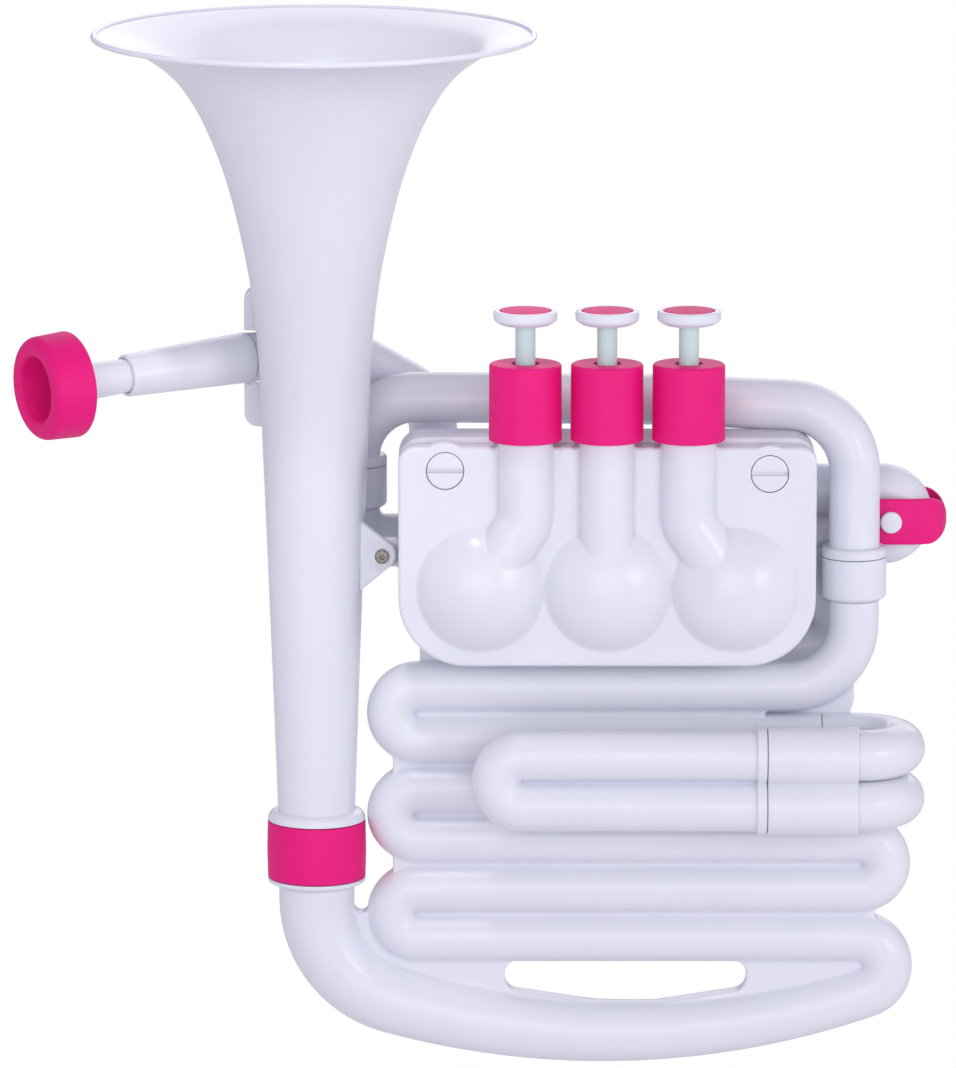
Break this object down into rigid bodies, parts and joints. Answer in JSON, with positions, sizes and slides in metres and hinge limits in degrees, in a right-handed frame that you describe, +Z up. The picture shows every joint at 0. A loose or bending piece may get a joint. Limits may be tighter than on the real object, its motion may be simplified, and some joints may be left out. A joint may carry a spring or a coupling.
{
  "type": "plastic horn",
  "caption": "Upright plastic band horn with a flared bell, stacked folded tubing, three pressed ball valves, tuning slides and a soft-rimmed mouthpiece.",
  "frame": {"origin": "centre of the hand-grip slot above the bottom bow", "axes": "+Z up along the bell, +X away from the mouthpiece, -Y the front with the valve cover"},
  "size_m": [0.3443, 0.1628, 0.3891],
  "materials": {
    "white_plastic": "smooth white with a faint lavender tint",
    "pink_plastic": "soft bright pink, silky",
    "mint_plastic": "smooth pale grey-green",
    "seal_rubber": "black rubber, matt",
    "screw_steel": "dark oxide",
    "spring_steel": "bright wire"
  },
  "bodies": {
    "horn": {"bell": "white_plastic", "bell_band": "pink_plastic", "bell_seal": "seal_rubber", "bell_screw": "screw_steel", "main_tubing": "white_plastic", "return_elbows": "white_plastic", "top_crook": "white_plastic", "crook_seal_left": "seal_rubber", "crook_seal_right": "seal_rubber", "leadpipe": "white_plastic", "valve_block": "white_plastic", "valve_cover": "white_plastic", "valve_cap_1": "pink_plastic", "valve_cap_2": "pink_plastic", "valve_cap_3": "pink_plastic", "valve_spring_1": "spring_steel", "valve_spring_2": "spring_steel", "valve_spring_3": "spring_steel"},
    "plunger_1": {"valve_stem_1": "mint_plastic", "button_top_1": "white_plastic", "button_pad_1": "pink_plastic"},
    "rotor_1": {"valve_rotor_1": "white_plastic"},
    "plunger_2": {"valve_stem_2": "mint_plastic", "button_top_2": "white_plastic", "button_pad_2": "pink_plastic"},
    "rotor_2": {"valve_rotor_2": "white_plastic"},
    "plunger_3": {"valve_stem_3": "mint_plastic", "button_top_3": "white_plastic", "button_pad_3": "pink_plastic"},
    "rotor_3": {"valve_rotor_3": "white_plastic"},
    "main_slide": {"main_slide": "white_plastic", "main_slide_seal_upper": "seal_rubber", "main_slide_seal_lower": "seal_rubber"},
    "first_slide": {"first_slide": "white_plastic"},
    "second_slide": {"second_slide": "white_plastic"},
    "third_slide": {"third_slide": "white_plastic", "finger_strap": "pink_plastic", "strap_stud_front": "white_plastic", "strap_stud_back": "white_plastic"},
    "mouthpiece": {"mouthpiece": "white_plastic", "rim_cover": "pink_plastic"},
    "cover_screw_1": {"cover_screw_1": "white_plastic"},
    "cover_screw_2": {"cover_screw_2": "white_plastic"}
  },
  "joints": [
    {"name": "plunger_1_press", "type": "slide", "parent": "horn", "child": "plunger_1", "axis": [0, 0, 1], "range_m": [-0.012, 0], "stiffness_N_per_m": 120, "springref_m": 0.01, "deforming": ["valve_spring_1"]},
    {"name": "rotor_1_turn", "type": "hinge", "parent": "horn", "child": "rotor_1", "pos_m": [-0.0553, -0.006, 0.1552], "axis": [0, 1, 0], "range_deg": [0, 90]},
    {"name": "plunger_2_press", "type": "slide", "parent": "horn", "child": "plunger_2", "axis": [0, 0, 1], "range_m": [-0.012, 0], "stiffness_N_per_m": 120, "springref_m": 0.01, "deforming": ["valve_spring_2"]},
    {"name": "rotor_2_turn", "type": "hinge", "parent": "horn", "child": "rotor_2", "pos_m": [-0.008, -0.006, 0.1552], "axis": [0, 1, 0], "range_deg": [-90, 0]},
    {"name": "plunger_3_press", "type": "slide", "parent": "horn", "child": "plunger_3", "axis": [0, 0, 1], "range_m": [-0.012, 0], "stiffness_N_per_m": 120, "springref_m": 0.01, "deforming": ["valve_spring_3"]},
    {"name": "rotor_3_turn", "type": "hinge", "parent": "horn", "child": "rotor_3", "pos_m": [0.039, -0.006, 0.1552], "axis": [0, 1, 0], "range_deg": [-90, 0]},
    {"name": "main_slide_pull", "type": "slide", "parent": "horn", "child": "main_slide", "axis": [-1, 0, 0], "range_m": [0, 0.02]},
    {"name": "first_slide_pull", "type": "slide", "parent": "horn", "child": "first_slide", "axis": [1, 0, 0], "range_m": [0, 0.015]},
    {"name": "second_slide_pull", "type": "slide", "parent": "horn", "child": "second_slide", "axis": [0, 1, 0], "range_m": [0, 0.01]},
    {"name": "third_slide_pull", "type": "slide", "parent": "horn", "child": "third_slide", "axis": [1, 0, 0], "range_m": [0, 0.015]},
    {"name": "mouthpiece_pull", "type": "slide", "parent": "horn", "child": "mouthpiece", "axis": [-0.8607, -0.5068, -0.048], "range_m": [0, 0.012]},
    {"name": "cover_screw_1_turn", "type": "hinge", "parent": "horn", "child": "cover_screw_1", "pos_m": [-0.0682, -0.026, 0.1999], "axis": [0, 1, 0], "range_deg": [0, 90]},
    {"name": "cover_screw_2_turn", "type": "hinge", "parent": "horn", "child": "cover_screw_2", "pos_m": [0.0516, -0.026, 0.1988], "axis": [0, 1, 0], "range_deg": [0, 90]}
  ],
  "couplings": [
    {"joint": "rotor_1_turn", "follows": "plunger_1_press", "rad_per_m": -130.89},
    {"joint": "rotor_2_turn", "follows": "plunger_2_press", "rad_per_m": 130.89},
    {"joint": "rotor_3_turn", "follows": "plunger_3_press", "rad_per_m": 130.89}
  ]
}
